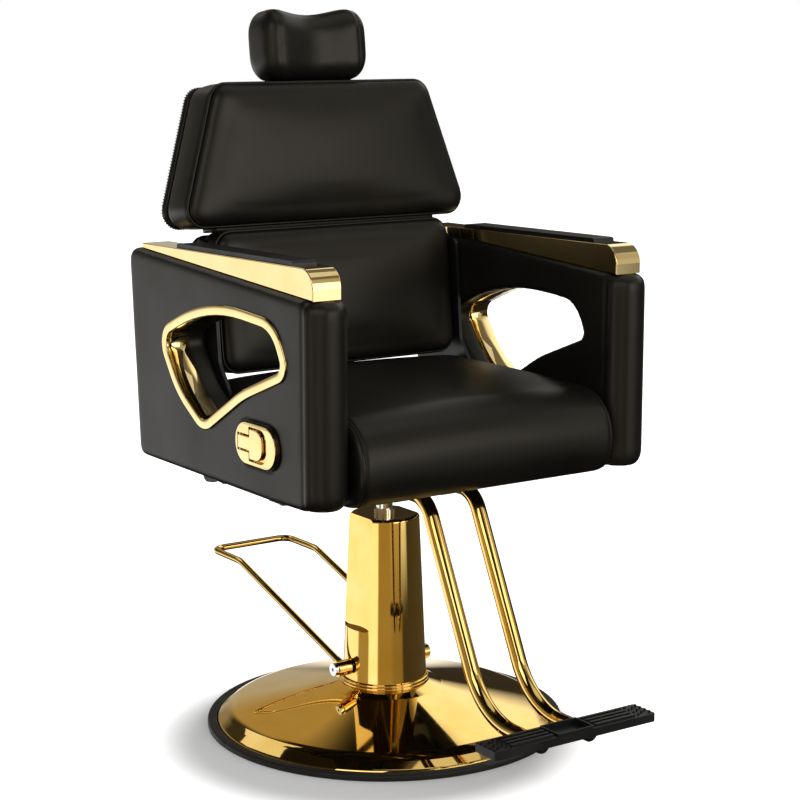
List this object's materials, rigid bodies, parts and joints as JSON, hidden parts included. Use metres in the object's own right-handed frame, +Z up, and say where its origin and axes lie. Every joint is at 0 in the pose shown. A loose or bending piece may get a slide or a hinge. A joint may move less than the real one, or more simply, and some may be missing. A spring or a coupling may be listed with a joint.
{
  "type": "hydraulic barber chair",
  "caption": "Barber chair with a round pedestal base, hydraulic lift and swivel, reclining back, sliding headrest, windowed armrests, footrest and foot pedal",
  "frame": {"origin": "on the swivel axis at the floor, in the plane of the underside of the base", "axes": "+Z up along the swivel axis, -Y the way the sitter faces, +X the sitter's left"},
  "size_m": [0.6526, 0.969, 1.1831],
  "materials": {
    "leather": "smooth black leather",
    "gold": "polished gold plated steel",
    "chrome": "polished chrome plate",
    "steel": "bright steel",
    "black_steel": "black powder coat",
    "cast_iron": "bare casting",
    "rubber": "black rubber",
    "black_plastic": "black moulded plastic",
    "wood": "bare plywood"
  },
  "bodies": {
    "base": {"base_plate": "black_steel", "base_ring": "rubber", "base_cover": "gold", "base_collar": "gold", "column_cover": "gold", "pump_body": "cast_iron", "pump_cylinder": "steel", "pump_gland": "chrome"},
    "ram": {"ram_rod": "chrome", "ram_piston": "steel", "ram_collar": "steel", "thrust_bearing": "steel"},
    "seat": {"seat_hub": "black_steel", "seat_plate": "black_steel", "cross_bar_front": "black_steel", "cross_bar_rear": "black_steel", "seat_board": "wood", "seat_cushion": "leather", "arm_left": "leather", "arm_right": "leather", "arm_cap_left": "gold", "arm_cap_right": "gold", "arm_pad_left": "black_plastic", "arm_pad_right": "black_plastic", "window_trim_left": "gold", "window_trim_right": "gold", "arm_bolt_left_1": "steel", "arm_bolt_left_2": "steel", "arm_bolt_right_1": "steel", "arm_bolt_right_2": "steel", "recline_pin_left": "steel", "recline_pin_right": "steel", "latch_plate": "gold", "latch_pin": "steel", "footrest_tube_left": "gold", "footrest_tube_right": "gold", "footrest_clamp_left": "black_steel", "footrest_clamp_right": "black_steel", "footplate": "black_plastic", "tube_cap_left": "black_plastic", "tube_cap_right": "black_plastic"},
    "paddle": {"latch_paddle": "gold"},
    "back": {"recline_bar_left": "black_steel", "recline_bar_right": "black_steel", "recline_tie": "black_steel", "lower_board": "leather", "upper_board": "leather", "back_upright_left": "black_steel", "back_upright_right": "black_steel", "lower_cushion": "leather", "upper_cushion": "leather", "headrest_socket": "black_steel"},
    "headrest": {"headrest_bar": "steel", "headrest_cushion": "leather"},
    "pedal": {"pedal_shaft": "chrome", "pedal_loop": "gold"}
  },
  "joints": [
    {"name": "lift", "type": "slide", "parent": "base", "child": "ram", "axis": [0, 0, 1], "range_m": [0, 0.15]},
    {"name": "swivel", "type": "hinge", "parent": "ram", "child": "seat", "pos_m": [0, 0, 0.4], "axis": [0, 0, 1], "continuous": true},
    {"name": "recline", "type": "hinge", "parent": "seat", "child": "back", "pos_m": [0, 0.12, 0.505], "axis": [-1, 0, 0], "range_deg": [0, 40]},
    {"name": "headrest_slide", "type": "slide", "parent": "back", "child": "headrest", "axis": [0, 0.1132, 0.9936], "range_m": [0, 0.12]},
    {"name": "pedal_pump", "type": "hinge", "parent": "base", "child": "pedal", "pos_m": [0, 0, 0.103], "axis": [-1, 0, 0], "range_deg": [0, 18], "stiffness_Nm_per_rad": 20, "springref_deg": -20.05},
    {"name": "latch_lift", "type": "hinge", "parent": "seat", "child": "paddle", "pos_m": [-0.3267, -0.0905, 0.534], "axis": [0, 0, -1], "range_deg": [0, 35], "stiffness_Nm_per_rad": 0.02, "springref_deg": -22.92}
  ]
}
